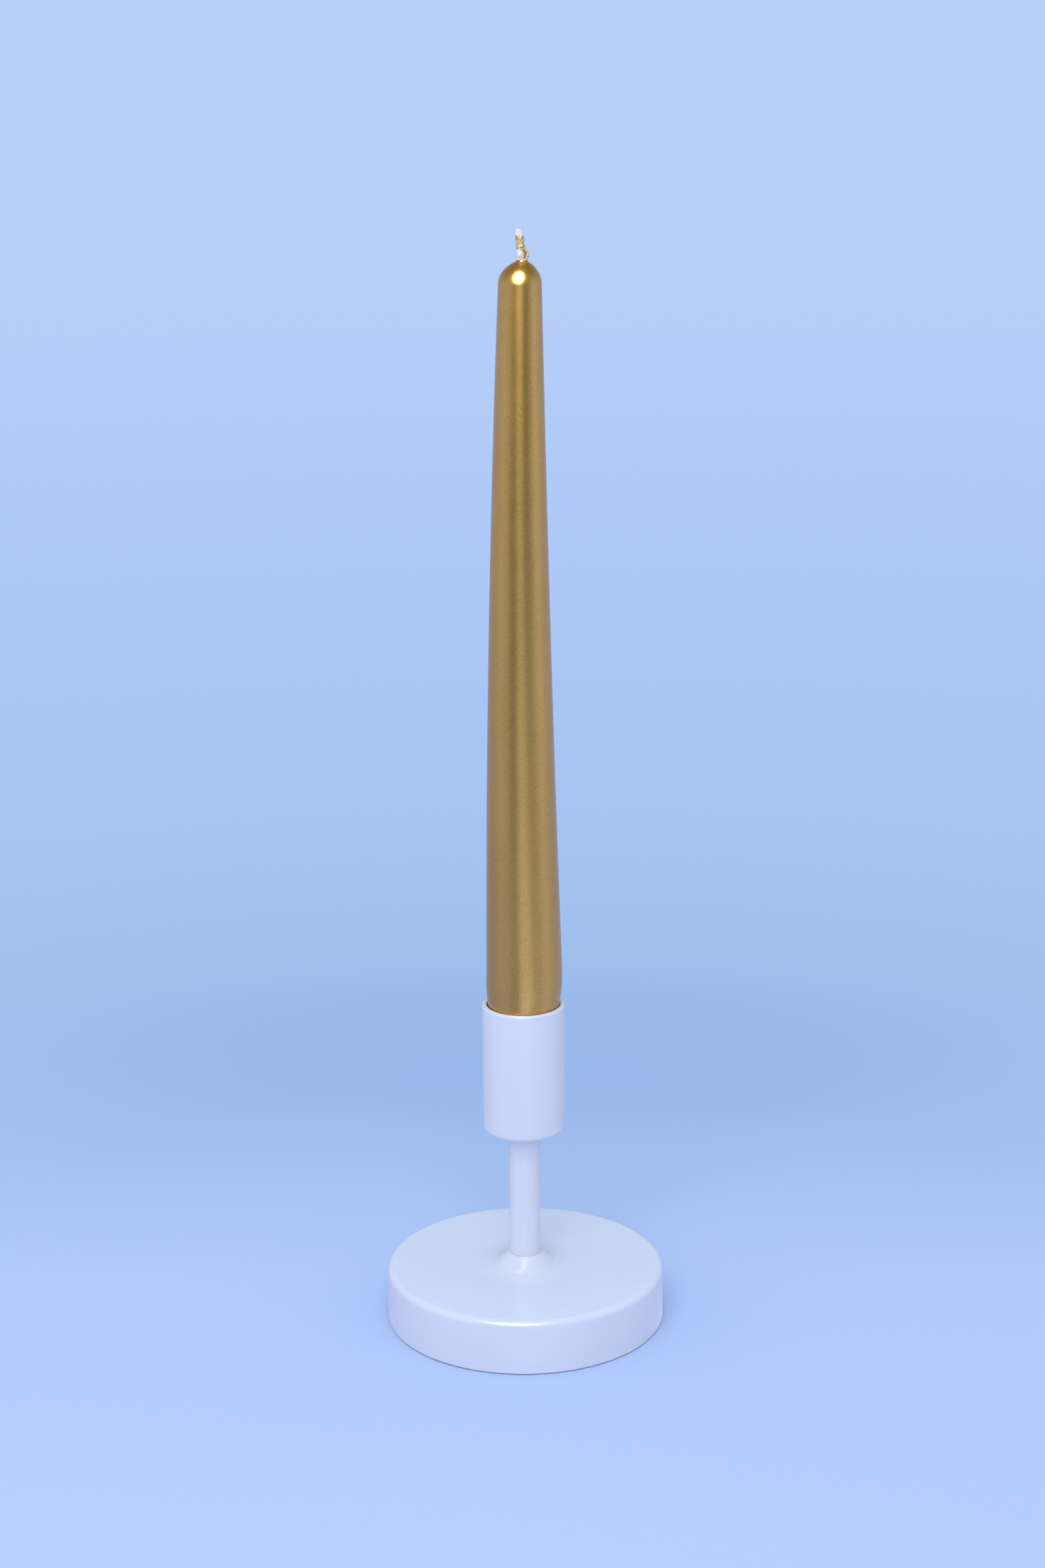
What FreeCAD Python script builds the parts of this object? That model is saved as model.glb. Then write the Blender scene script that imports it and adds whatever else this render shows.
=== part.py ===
import FreeCAD, Part
import Sketcher
import math
import os
import sys

# A table candlestick for one taper candle, with the candle in it.
# Frame: +Z up, origin at the centre of the foot pad's underside, millimetres.
#
# How it goes together:
# - a spun steel base shell closes over a cast iron weight, and a felt pad is glued underneath
# - a solid steel stem stands on the shell's drawn collar; its spigot reaches down into the weight,
#   and a hex bolt with a spring washer and a flat washer pulls it down from below
# - a turned steel cup seats on the stem's top, held by a countersunk screw in its socket's floor
# - the taper candle is a wax core with a cotton wick through it, dipped in a gold coat

DRIVING_DIMENSIONS = {
    # candle
    "candle_length": 250.0,  # wax, from the cut foot to the tip
    "candle_diameter": 23.0,  # over the coat, at the widest ring
    "waist_step": 0.62,  # how far the radius draws in from the widest ring to the cup's rim
    "foot_step": 1.0,  # how far the radius draws in from the widest ring to the cut foot
    "shoulder_rise": 8.0,  # height of the widest ring above the cup's rim
    "neck_diameter": 12.3,  # over the coat, where the dome starts
    "side_bulge": 0.27,  # how far the long side stands out from a straight taper
    "dome_height": 6.9,
    "dome_radius": 6.75,
    "coat_thickness": 0.35,
    "wick_diameter": 2.1,
    "wick_reach": 9.3,  # height of the wick's end above the wax
    # cup
    "holder_height": 103.0,  # from the floor to the cup's rim
    "cup_height": 41.0,
    "socket_depth": 26.0,
    "socket_corner_radius": 0.5,
    "cup_wall": 1.5,
    "cup_edge_radius": 2.0,
    "rim_radius": 0.65,
    "candle_clearance": 0.35,  # radial, between the candle at the rim and the socket
    # stem
    "stem_diameter": 9.8,
    "stem_chamfer": 0.15,
    "stem_seat": 2.5,  # how far the stem's top goes into the cup
    "spigot_wall": 1.05,  # steel left round the tapped hole in the stem's spigot
    "spigot_seat": 3.5,  # how far the spigot goes into the weight
    "seat_clearance": 0.05,  # radial, round the stem's two seats
    # base
    "base_diameter": 86.0,
    "base_height": 17.2,  # from the floor to the shell's flat top
    "base_edge_radius": 2.0,
    "base_lip_radius": 0.4,
    "shell_thickness": 1.5,
    "flare_radius": 3.7,  # hollow curve from the flat top up to the collar
    "collar_lip": 0.2,  # how far the collar stands out round the stem
    "pad_thickness": 2.0,
    "pad_reveal": 0.5,  # how far the pad stands below the shell
    "pad_clearance": 0.6,
    "weight_clearance": 0.25,
    "weight_chamfer": 1.0,
    "web_thickness": 3.0,  # iron between the spigot's seat and the bolt's pocket
    "pocket_clearance": 1.5,  # radial, round the bolt head's corners
    # fasteners
    "thread_diameter": 5.0,
    "thread_chamfer": 0.6,
    "hole_clearance": 0.25,
    "drill_runout": 2.5,  # tapped depth left past a screw's end
    "screw_length": 20.0,
    "screw_head_diameter": 9.6,
    "screw_sink": 0.2,  # how far the screw's head lies below the socket's floor
    "screw_key_flats": 3.0,
    "screw_key_depth": 1.9,
    "bolt_length": 16.0,
    "bolt_head_height": 3.5,
    "bolt_head_flats": 8.0,
    "bolt_face_radius": 3.7,  # round face left on the head's end where its corners are turned off
    "washer_diameter": 10.0,
    "washer_thickness": 1.0,
    "spring_washer_diameter": 9.2,
    "spring_washer_thickness": 1.2,
    "spring_washer_gap": 0.8,
    "spring_washer_lean": 0.5,  # how far the gap slants over the washer's thickness
}

COS_30 = math.cos(math.radians(30))
TAN_30 = math.tan(math.radians(30))
DRILL_POINT_SLOPE = math.tan(math.radians(31))  # a drill's point is 118 degrees

doc = FreeCAD.newDocument("candlestick")


def make_sheet():
    """The spreadsheet of driving dimensions: each row is a name beside its value."""
    table = doc.addObject("Spreadsheet::Sheet", "sheet")
    for row, (name, number) in enumerate(DRIVING_DIMENSIONS.items(), start=1):
        table.set(f"A{row}", name)
        table.set(f"B{row}", str(number))
        table.setAlias(f"B{row}", name)
    doc.recompute()
    return table


sheet = make_sheet()


class Size:
    """A length that follows the sheet: its expression, and the number that comes to now."""

    def __init__(self, expression, number):
        self.expression = str(expression)
        self.number = float(number)

    def joined(self, sign, other, work):
        other = as_size(other)
        return Size(f"({self.expression} {sign} {other.expression})", work(self.number, other.number))

    def __add__(self, other):
        return self.joined("+", other, lambda a, b: a + b)

    def __sub__(self, other):
        return self.joined("-", other, lambda a, b: a - b)

    def __mul__(self, other):
        return self.joined("*", other, lambda a, b: a * b)

    def __truediv__(self, other):
        return self.joined("/", other, lambda a, b: a / b)


def as_size(item):
    return item if isinstance(item, Size) else Size(item, item)


def size(name):
    """A driving dimension, read from the sheet."""
    return Size(f"sheet.{name}", sheet.get(name))


# Radii, from the axis outwards
AXIS = as_size(0)
WICK_RADIUS = size("wick_diameter") / 2
THREAD_RADIUS = size("thread_diameter") / 2
HOLE_RADIUS = THREAD_RADIUS + size("hole_clearance")
HEAD_RADIUS = size("screw_head_diameter") / 2
COUNTERSINK_RADIUS = HEAD_RADIUS + size("screw_sink")
BOLT_CORNER_RADIUS = size("bolt_head_flats") / 2 / COS_30
POCKET_RADIUS = BOLT_CORNER_RADIUS + size("pocket_clearance")
STEM_RADIUS = size("stem_diameter") / 2
STEM_SEAT_RADIUS = STEM_RADIUS + size("seat_clearance")
COLLAR_RADIUS = STEM_RADIUS + size("collar_lip")
SPIGOT_RADIUS = THREAD_RADIUS + size("spigot_wall")
SPIGOT_SEAT_RADIUS = SPIGOT_RADIUS + size("seat_clearance")
FLARE_START = COLLAR_RADIUS + size("flare_radius")
SOCKET_RADIUS = size("candle_diameter") / 2 - size("waist_step") + size("candle_clearance")
CUP_RADIUS = SOCKET_RADIUS + size("cup_wall")
BASE_RADIUS = size("base_diameter") / 2
SHELL_BORE_RADIUS = BASE_RADIUS - size("shell_thickness")

# Heights, from the floor up
SHELL_FOOT = size("pad_reveal")
SHELL_TOP = size("base_height")
FLARE_TOP = SHELL_TOP + size("flare_radius")
COLLAR_TOP = FLARE_TOP + size("collar_lip")
WEIGHT_TOP = SHELL_TOP - size("shell_thickness")
SPIGOT_FOOT = WEIGHT_TOP - size("spigot_seat")
WEB_UNDERSIDE = SPIGOT_FOOT - size("web_thickness")
WASHER_UNDERSIDE = WEB_UNDERSIDE - size("washer_thickness")
BOLT_SEAT = WASHER_UNDERSIDE - size("spring_washer_thickness")
BOLT_HEAD_END = BOLT_SEAT - size("bolt_head_height")
BOLT_TIP = BOLT_SEAT + size("bolt_length")
RIM = size("holder_height")
CUP_UNDERSIDE = RIM - size("cup_height")
STEM_TOP = CUP_UNDERSIDE + size("stem_seat")
SOCKET_FLOOR = RIM - size("socket_depth")
SCREW_TOP = SOCKET_FLOOR - size("screw_sink")
SCREW_TIP = SCREW_TOP - size("screw_length")
SHOULDER = RIM + size("shoulder_rise")
CANDLE_TIP = SOCKET_FLOOR + size("candle_length")
NECK = CANDLE_TIP - size("dome_height")


def outline(body, name, corners, plane="XZ_Plane"):
    """A closed sketch on one of the body's planes, fully constrained by the sheet.

    A corner is (across, height), reached by a straight line from the corner before it, or
    (across, height, arc_radius, turn), reached by an arc that turns left (1) or right (-1).
    """
    sketch = body.newObject("Sketcher::SketchObject", name)
    face = next(f for f in body.Origin.OriginFeatures if f.Role == plane)
    sketch.AttachmentSupport = [(face, "")]
    sketch.MapMode = "FlatFace"
    spots = [FreeCAD.Vector(corner[0].number, corner[1].number, 0) for corner in corners]
    ends = []
    for i, corner in enumerate(corners):
        start, finish = spots[i - 1], spots[i]
        if len(corner) == 2:
            ends.append((sketch.addGeometry(Part.LineSegment(start, finish), False), 1, 2))
            continue
        arc = arc_between(start, finish, corner[2].number, corner[3])
        # a sketch counts an arc's ends anticlockwise
        first, last = (1, 2) if corner[3] > 0 else (2, 1)
        ends.append((sketch.addGeometry(arc, False), first, last))
    constrain(sketch, corners, ends)
    return sketch


def arc_between(start, finish, radius, turn):
    """The shorter arc from start to finish, always drawn anticlockwise."""
    chord = finish - start
    sagitta = radius - math.sqrt(radius**2 - chord.Length**2 / 4)
    middle = (start + finish) * 0.5
    middle += FreeCAD.Vector(chord.y, -chord.x, 0).normalize() * (sagitta * turn)
    if turn > 0:
        return Part.Arc(start, middle, finish)
    return Part.Arc(finish, middle, start)


def constrain(sketch, corners, ends):
    """Joins the outline end to end and ties each corner and each arc's radius to the sheet."""
    for i, corner in enumerate(corners):
        geometry, _, last = ends[i]
        following, first, _ = ends[(i + 1) % len(ends)]
        sketch.addConstraint(Sketcher.Constraint("Coincident", geometry, last, following, first))
        bind(sketch, "DistanceX", (geometry, last), corner[0])
        bind(sketch, "DistanceY", (geometry, last), corner[1])
        if len(corner) == 4:
            bind(sketch, "Radius", (geometry,), corner[2])


def bind(sketch, kind, where, amount):
    """Adds one dimension to a sketch and gives it its expression."""
    index = sketch.addConstraint(Sketcher.Constraint(kind, *where, amount.number))
    sketch.setExpression(f"Constraints[{index}]", amount.expression)


def add_feature(body, kind, name, sketch):
    """A PartDesign feature made from a sketch."""
    feature = body.newObject(f"PartDesign::{kind}", name)
    feature.Profile = sketch
    return feature


def turn_round(body, kind, name, corners):
    """Turns an outline about Z: a Revolution adds material and a Groove takes it away."""
    sketch = outline(body, f"{name}_outline", corners)
    feature = add_feature(body, kind, name, sketch)
    feature.ReferenceAxis = (sketch, ["V_Axis"])
    feature.Angle = 360.0
    doc.recompute()
    return feature


def turned_body(name, corners):
    body = doc.addObject("PartDesign::Body", name)
    turn_round(body, "Revolution", f"{name}_turning", corners)
    return body


def prism(name, corner_radius, height, underside):
    """An upright hexagonal prism."""
    block = doc.addObject("Part::Prism", name)
    block.Polygon = 6
    block.setExpression("Circumradius", corner_radius.expression)
    block.setExpression("Height", height.expression)
    block.setExpression("Placement.Base.z", underside.expression)
    return block


def combine(kind, name, base, tool):
    """A boolean of two solids: Cut, Fuse or Common."""
    result = doc.addObject(f"Part::{kind}", name)
    result.Base = base
    result.Tool = tool
    return result


def make_base_shell():
    """Spun steel shell: flat top, rounded edge, and a trumpet collar drawn up round the stem."""
    lip, edge = size("base_lip_radius"), size("base_edge_radius")
    inner_edge = edge - size("shell_thickness")
    inner_flare = size("flare_radius") + size("shell_thickness")
    corners = [
        (SHELL_BORE_RADIUS, SHELL_FOOT),
        (BASE_RADIUS - lip, SHELL_FOOT),
        (BASE_RADIUS, SHELL_FOOT + lip, lip, 1),
        (BASE_RADIUS, SHELL_TOP - edge),
        (BASE_RADIUS - edge, SHELL_TOP, edge, 1),
        (FLARE_START, SHELL_TOP),
        (COLLAR_RADIUS, FLARE_TOP, size("flare_radius"), -1),
        (STEM_RADIUS, COLLAR_TOP, size("collar_lip"), 1),
        (SPIGOT_SEAT_RADIUS, COLLAR_TOP),
        (SPIGOT_SEAT_RADIUS, FLARE_TOP),
        (SPIGOT_SEAT_RADIUS + inner_flare, WEIGHT_TOP, inner_flare, 1),
        (SHELL_BORE_RADIUS - inner_edge, WEIGHT_TOP),
        (SHELL_BORE_RADIUS, WEIGHT_TOP - inner_edge, inner_edge, -1),
    ]
    return turned_body("base_shell", corners)


def make_base_weight():
    """Iron disc that fills the shell: the spigot's seat above, the bolt's pocket below."""
    radius = SHELL_BORE_RADIUS - size("weight_clearance")
    chamfer = size("weight_chamfer")
    corners = [
        (HOLE_RADIUS, WEB_UNDERSIDE),
        (POCKET_RADIUS, WEB_UNDERSIDE),
        (POCKET_RADIUS, size("pad_thickness")),
        (radius, size("pad_thickness")),
        (radius, WEIGHT_TOP - chamfer),
        (radius - chamfer, WEIGHT_TOP),
        (SPIGOT_SEAT_RADIUS, WEIGHT_TOP),
        (SPIGOT_SEAT_RADIUS, SPIGOT_FOOT),
        (HOLE_RADIUS, SPIGOT_FOOT),
    ]
    return turned_body("base_weight", corners)


def make_foot_pad():
    """Felt disc glued under the weight, inside the shell's lower edge."""
    pad = doc.addObject("Part::Cylinder", "foot_pad")
    pad.setExpression("Radius", (SHELL_BORE_RADIUS - size("pad_clearance")).expression)
    pad.setExpression("Height", size("pad_thickness").expression)
    return pad


def make_stem():
    """Solid rod with a spigot at its foot and a tapped hole in each end."""
    chamfer = size("stem_chamfer")
    lower_hole_end = BOLT_TIP + size("drill_runout")
    upper_hole_end = SCREW_TIP - size("drill_runout")
    drill_point = THREAD_RADIUS * DRILL_POINT_SLOPE
    corners = [
        (AXIS, lower_hole_end + drill_point),
        (THREAD_RADIUS, lower_hole_end),
        (THREAD_RADIUS, SPIGOT_FOOT),
        (SPIGOT_RADIUS, SPIGOT_FOOT),
        (SPIGOT_RADIUS, COLLAR_TOP),
        (STEM_RADIUS - chamfer, COLLAR_TOP),
        (STEM_RADIUS, COLLAR_TOP + chamfer),
        (STEM_RADIUS, STEM_TOP),
        (THREAD_RADIUS, STEM_TOP),
        (THREAD_RADIUS, upper_hole_end),
        (AXIS, upper_hole_end - drill_point),
    ]
    return turned_body("stem", corners)


def make_cup():
    """Turned cup: candle socket above, countersunk hole in its floor, the stem's seat below."""
    edge, rim, corner = size("cup_edge_radius"), size("rim_radius"), size("socket_corner_radius")
    corners = [
        (HOLE_RADIUS, STEM_TOP),
        (STEM_SEAT_RADIUS, STEM_TOP),
        (STEM_SEAT_RADIUS, CUP_UNDERSIDE),
        (CUP_RADIUS - edge, CUP_UNDERSIDE),
        (CUP_RADIUS, CUP_UNDERSIDE + edge, edge, 1),
        (CUP_RADIUS, RIM - rim),
        (CUP_RADIUS - rim, RIM, rim, 1),
        (SOCKET_RADIUS + rim, RIM),
        (SOCKET_RADIUS, RIM - rim, rim, 1),
        (SOCKET_RADIUS, SOCKET_FLOOR + corner),
        (SOCKET_RADIUS - corner, SOCKET_FLOOR, corner, -1),
        (COUNTERSINK_RADIUS, SOCKET_FLOOR),
        (HOLE_RADIUS, SOCKET_FLOOR - (COUNTERSINK_RADIUS - HOLE_RADIUS)),
    ]
    return turned_body("cup", corners)


def make_cup_screw():
    """Countersunk screw with a hex socket, from the cup's floor down into the stem."""
    chamfer = size("thread_chamfer")
    corners = [
        (AXIS, SCREW_TIP),
        (THREAD_RADIUS - chamfer, SCREW_TIP),
        (THREAD_RADIUS, SCREW_TIP + chamfer),
        (THREAD_RADIUS, SCREW_TOP - (HEAD_RADIUS - THREAD_RADIUS)),
        (HEAD_RADIUS, SCREW_TOP),
        (AXIS, SCREW_TOP),
    ]
    depth = size("screw_key_depth")
    blank = turned_body("cup_screw_blank", corners)
    key = prism("cup_screw_key", size("screw_key_flats") / 2 / COS_30, depth, SCREW_TOP - depth)
    return combine("Cut", "cup_screw", blank, key)


def make_base_bolt():
    """Hex bolt from the weight's pocket up into the stem's spigot."""
    chamfer, head_height = size("thread_chamfer"), size("bolt_head_height")
    face = size("bolt_face_radius")
    blank_corners = [
        (AXIS, BOLT_HEAD_END),
        (face, BOLT_HEAD_END),
        (face + head_height / TAN_30, BOLT_SEAT),
        (THREAD_RADIUS, BOLT_SEAT),
        (THREAD_RADIUS, BOLT_TIP - chamfer),
        (THREAD_RADIUS - chamfer, BOLT_TIP),
        (AXIS, BOLT_TIP),
    ]
    # the blank's head is a wide cone, which turns the hexagon's corners off towards its end
    blank = turned_body("base_bolt_blank", blank_corners)
    hexagon = prism("base_bolt_hexagon", BOLT_CORNER_RADIUS, head_height, BOLT_HEAD_END)
    shank = doc.addObject("Part::Cylinder", "base_bolt_shank")
    shank.setExpression("Radius", THREAD_RADIUS.expression)
    shank.setExpression("Height", (BOLT_TIP - BOLT_HEAD_END).expression)
    shank.setExpression("Placement.Base.z", BOLT_HEAD_END.expression)
    stock = combine("Fuse", "base_bolt_stock", hexagon, shank)
    return combine("Common", "base_bolt", stock, blank)


def make_flat_washer():
    """Plain ring under the weight's web."""
    outer = size("washer_diameter") / 2
    corners = [
        (HOLE_RADIUS, WASHER_UNDERSIDE),
        (outer, WASHER_UNDERSIDE),
        (outer, WEB_UNDERSIDE),
        (HOLE_RADIUS, WEB_UNDERSIDE),
    ]
    return turned_body("flat_washer", corners)


def make_spring_washer():
    """Ring with a slanting gap cut through one side, between the bolt's head and the flat washer."""
    outer = size("spring_washer_diameter") / 2
    corners = [
        (HOLE_RADIUS, BOLT_SEAT),
        (outer, BOLT_SEAT),
        (outer, WASHER_UNDERSIDE),
        (HOLE_RADIUS, WASHER_UNDERSIDE),
    ]
    washer = turned_body("spring_washer", corners)
    half_gap, half_lean = size("spring_washer_gap") / 2, size("spring_washer_lean") / 2
    slit_corners = [
        (AXIS - half_gap - half_lean, BOLT_SEAT),
        (half_gap - half_lean, BOLT_SEAT),
        (half_gap + half_lean, WASHER_UNDERSIDE),
        (half_lean - half_gap, WASHER_UNDERSIDE),
    ]
    slit = outline(washer, "spring_washer_slit_outline", slit_corners, "YZ_Plane")
    pocket = add_feature(washer, "Pocket", "spring_washer_slit", slit)
    pocket.Reversed = True
    pocket.setExpression("Length", outer.expression)
    doc.recompute()
    return washer


def candle_corners(skin):
    """The candle's outline from its cut foot to its tip, drawn in all over by a skin's thickness."""
    widest = size("candle_diameter") / 2 - skin
    neck = size("neck_diameter") / 2 - skin
    waist, rise, bulge = size("waist_step"), size("shoulder_rise"), size("side_bulge")
    side_length_squared = (widest - neck) * (widest - neck) + (NECK - SHOULDER) * (NECK - SHOULDER)
    side_radius = (side_length_squared / 4 + bulge * bulge) / (bulge * 2)
    shoulder_radius = (waist * waist + rise * rise) / (waist * 2)
    return [
        (AXIS, SOCKET_FLOOR),
        (widest - size("foot_step"), SOCKET_FLOOR),
        (widest - waist, RIM),
        (widest, SHOULDER, shoulder_radius, 1),
        (neck, NECK, side_radius, 1),
        (AXIS, CANDLE_TIP - skin, size("dome_radius") - skin, 1),
    ]


def wick_bore_corners():
    """The wick's hole, from the candle's foot to past its tip."""
    sky = CANDLE_TIP + size("wick_diameter")
    return [(AXIS, SOCKET_FLOOR), (WICK_RADIUS, SOCKET_FLOOR), (WICK_RADIUS, sky), (AXIS, sky)]


def make_wax_core():
    """White wax taper, cast round the wick."""
    core = turned_body("wax_core", candle_corners(size("coat_thickness")))
    turn_round(core, "Groove", "wax_core_wick_bore", wick_bore_corners())
    return core


def make_gold_coat():
    """Gold dip coat over the core's side and dome, open at the cut foot."""
    coat = turned_body("gold_coat", candle_corners(AXIS))
    turn_round(coat, "Groove", "gold_coat_hollow", candle_corners(size("coat_thickness")))
    turn_round(coat, "Groove", "gold_coat_wick_bore", wick_bore_corners())
    return coat


def rounded_path(points):
    """Straight runs joined by tangent arcs, each as large as its two runs allow."""
    edges, here = [], points[0]
    for before, corner, after in zip(points, points[1:], points[2:]):
        back, ahead = before - corner, after - corner
        half_turn = (math.pi - back.getAngle(ahead)) / 2
        cut = 0.45 * min(back.Length, ahead.Length)
        radius = cut / math.tan(half_turn)
        back.normalize()
        ahead.normalize()
        start, finish = corner + back * cut, corner + ahead * cut
        inward = (back + ahead).normalize()
        middle = corner + inward * (radius / math.cos(half_turn) - radius)
        edges.append(Part.LineSegment(here, start).toShape())
        edges.append(Part.Arc(start, middle, finish).toShape())
        here = finish
    edges.append(Part.LineSegment(here, points[-1]).toShape())
    return Part.Wire(edges)


def make_wick():
    """Braided cotton wick: straight through the wax, then up with a soft kink to its cut end."""
    tip, radius = CANDLE_TIP.number, WICK_RADIUS.number
    reach = size("wick_reach").number
    # each bend above the wax: sideways in wick radii, then up as a share of the reach
    bends = ((0, 0.17), (0.7, 0.42), (0, 0.7), (-0.3, 1.0))
    foot = FreeCAD.Vector(0, 0, SOCKET_FLOOR.number)
    points = [foot]
    points += [FreeCAD.Vector(side * radius, 0, tip + rise * reach) for side, rise in bends]
    section = Part.Wire(Part.Circle(foot, FreeCAD.Vector(0, 0, 1), radius).toShape())
    wick = doc.addObject("Part::Feature", "wick")
    wick.Shape = rounded_path(points).makePipeShell([section], True, True)
    return wick


def fault_in(piece):
    """What is wrong with a finished piece, or None."""
    if piece.Shape.isNull() or not piece.Shape.isValid():
        return "its shape is missing or not valid"
    if len(piece.Shape.Solids) != 1 or piece.Shape.Volume <= 0:
        return "it isn't one solid"
    return None


def main():
    makers = [
        make_base_shell,
        make_base_weight,
        make_foot_pad,
        make_stem,
        make_cup,
        make_cup_screw,
        make_base_bolt,
        make_flat_washer,
        make_spring_washer,
        make_wax_core,
        make_gold_coat,
        make_wick,
    ]
    pieces = [maker() for maker in makers]
    doc.recompute()
    faults = [
        f"{item.Name}: {state}"
        for item in doc.Objects
        for state in item.State
        if state in ("Invalid", "Error")
    ]
    faults += [f"{piece.Name}: {fault_in(piece)}" for piece in pieces if fault_in(piece)]
    if faults:
        sys.exit("\n".join(faults))
    os.makedirs("parts", exist_ok=True)
    for piece in pieces:
        piece.Label = piece.Name
        piece.Shape.exportStep(f"parts/{piece.Label}.step")
        print(f"{piece.Label}: {piece.Shape.Volume:.1f} mm3")


main()
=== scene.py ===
import math

import bpy
from mathutils import Matrix, Vector, noise


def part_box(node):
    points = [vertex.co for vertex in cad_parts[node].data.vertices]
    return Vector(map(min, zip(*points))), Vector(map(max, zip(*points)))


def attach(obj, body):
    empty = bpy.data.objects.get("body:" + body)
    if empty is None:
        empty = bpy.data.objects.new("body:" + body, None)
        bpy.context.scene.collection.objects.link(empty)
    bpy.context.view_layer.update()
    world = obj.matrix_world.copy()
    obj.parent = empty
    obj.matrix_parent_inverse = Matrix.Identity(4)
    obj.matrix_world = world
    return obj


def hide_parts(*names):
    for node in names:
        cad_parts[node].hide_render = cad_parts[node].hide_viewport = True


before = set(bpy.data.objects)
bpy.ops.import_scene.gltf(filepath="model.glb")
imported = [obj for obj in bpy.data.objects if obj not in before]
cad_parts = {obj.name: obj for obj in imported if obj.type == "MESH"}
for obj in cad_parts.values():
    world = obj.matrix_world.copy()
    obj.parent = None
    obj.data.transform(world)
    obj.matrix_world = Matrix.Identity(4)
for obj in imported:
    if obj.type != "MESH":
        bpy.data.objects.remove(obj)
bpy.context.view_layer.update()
MM = 0.001

# ---------------------------------------------------------------------------------------------
# Places and sizes, read from the frame
# ---------------------------------------------------------------------------------------------


def top_of(node):
    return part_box(node)[1].z


def foot_of(node):
    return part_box(node)[0].z


def radius_of(node):
    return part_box(node)[1].y


def radii_at(node, height, near=0.05 * MM):
    """The distances from the axis of a node's mesh corners that lie at a height."""
    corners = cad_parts[node].data.vertices
    return sorted(math.hypot(v.co.x, v.co.y) for v in corners if abs(v.co.z - height) < near)


BASE_RADIUS = radius_of("base_shell")
STEM_RADIUS = radius_of("stem")
CUP_RADIUS = radius_of("cup")
CUP_RIM = top_of("cup")
CUP_UNDERSIDE = foot_of("cup")
SOCKET_FLOOR = foot_of("wax_core")
SHELL_TOP_WALL = 1.5 * MM
BASE_TOP = top_of("base_weight") + SHELL_TOP_WALL
COLLAR_TOP = top_of("base_shell")
WAX_TIP = top_of("gold_coat")
CANDLE_RADIUS = radius_of("gold_coat")
CANDLE_FOOT = foot_of("gold_coat")

# ---------------------------------------------------------------------------------------------
# Modelling by hand: the few moves that the pieces share
# ---------------------------------------------------------------------------------------------


def select_nothing():
    if bpy.context.object and bpy.context.object.mode != "OBJECT":
        bpy.ops.object.mode_set(mode="OBJECT")
    bpy.ops.object.select_all(action="DESELECT")


def named(name):
    """Names the object just added, and its mesh."""
    piece = bpy.context.object
    piece.name = name
    piece.data.name = name
    return piece


def corner(centre_r, centre_z, radius, start, finish, steps=8):
    """Points of a rounded corner in a half-section, from one angle to another, in degrees."""
    points = []
    for i in range(steps + 1):
        angle = math.radians(start + (finish - start) * i / steps)
        points.append((centre_r + radius * math.cos(angle), centre_z + radius * math.sin(angle)))
    return points


def spun(name, section, sides):
    """Draws a half-section point by point by extruding one corner, and spins it about Z."""
    select_nothing()
    bpy.ops.mesh.primitive_plane_add(size=0.1 * MM, location=(section[0][0], 0, section[0][1]))
    piece = named(name)
    bpy.ops.object.transform_apply(location=True, rotation=True, scale=True)
    bpy.ops.object.mode_set(mode="EDIT")
    bpy.ops.mesh.merge(type="CENTER")
    for here, there in zip(section, section[1:]):
        step = (there[0] - here[0], 0, there[1] - here[1])
        bpy.ops.mesh.extrude_region_move(TRANSFORM_OT_translate={"value": step})
    bpy.ops.mesh.select_all(action="SELECT")
    bpy.ops.mesh.spin(steps=sides, angle=math.tau, center=(0, 0, 0), axis=(0, 0, 1))
    bpy.ops.mesh.select_all(action="SELECT")
    bpy.ops.mesh.remove_doubles(threshold=0.002 * MM)
    bpy.ops.mesh.normals_make_consistent(inside=False)
    bpy.ops.object.mode_set(mode="OBJECT")
    return piece


def smooth(piece, angle=40):
    select_nothing()
    piece.select_set(True)
    bpy.context.view_layer.objects.active = piece
    bpy.ops.object.shade_smooth_by_angle(angle=math.radians(angle))


def eased(share):
    """A share from 0 to 1, smoothed at both ends."""
    share = min(max(share, 0), 1)
    return share * share * (3 - 2 * share)


def ripple(place, per_metre):
    """Smooth random waves from about -1 to 1."""
    return noise.noise(place * per_metre)


def seat(piece, body, slot, material, *nodes):
    """Finishes a piece: its material, the body that carries it and the nodes it stands for."""
    piece.data.materials.clear()
    piece.data.materials.append(material)
    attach(piece, body)
    if nodes:
        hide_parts(*nodes)
    return piece


# ---------------------------------------------------------------------------------------------
# Materials
# ---------------------------------------------------------------------------------------------


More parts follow.
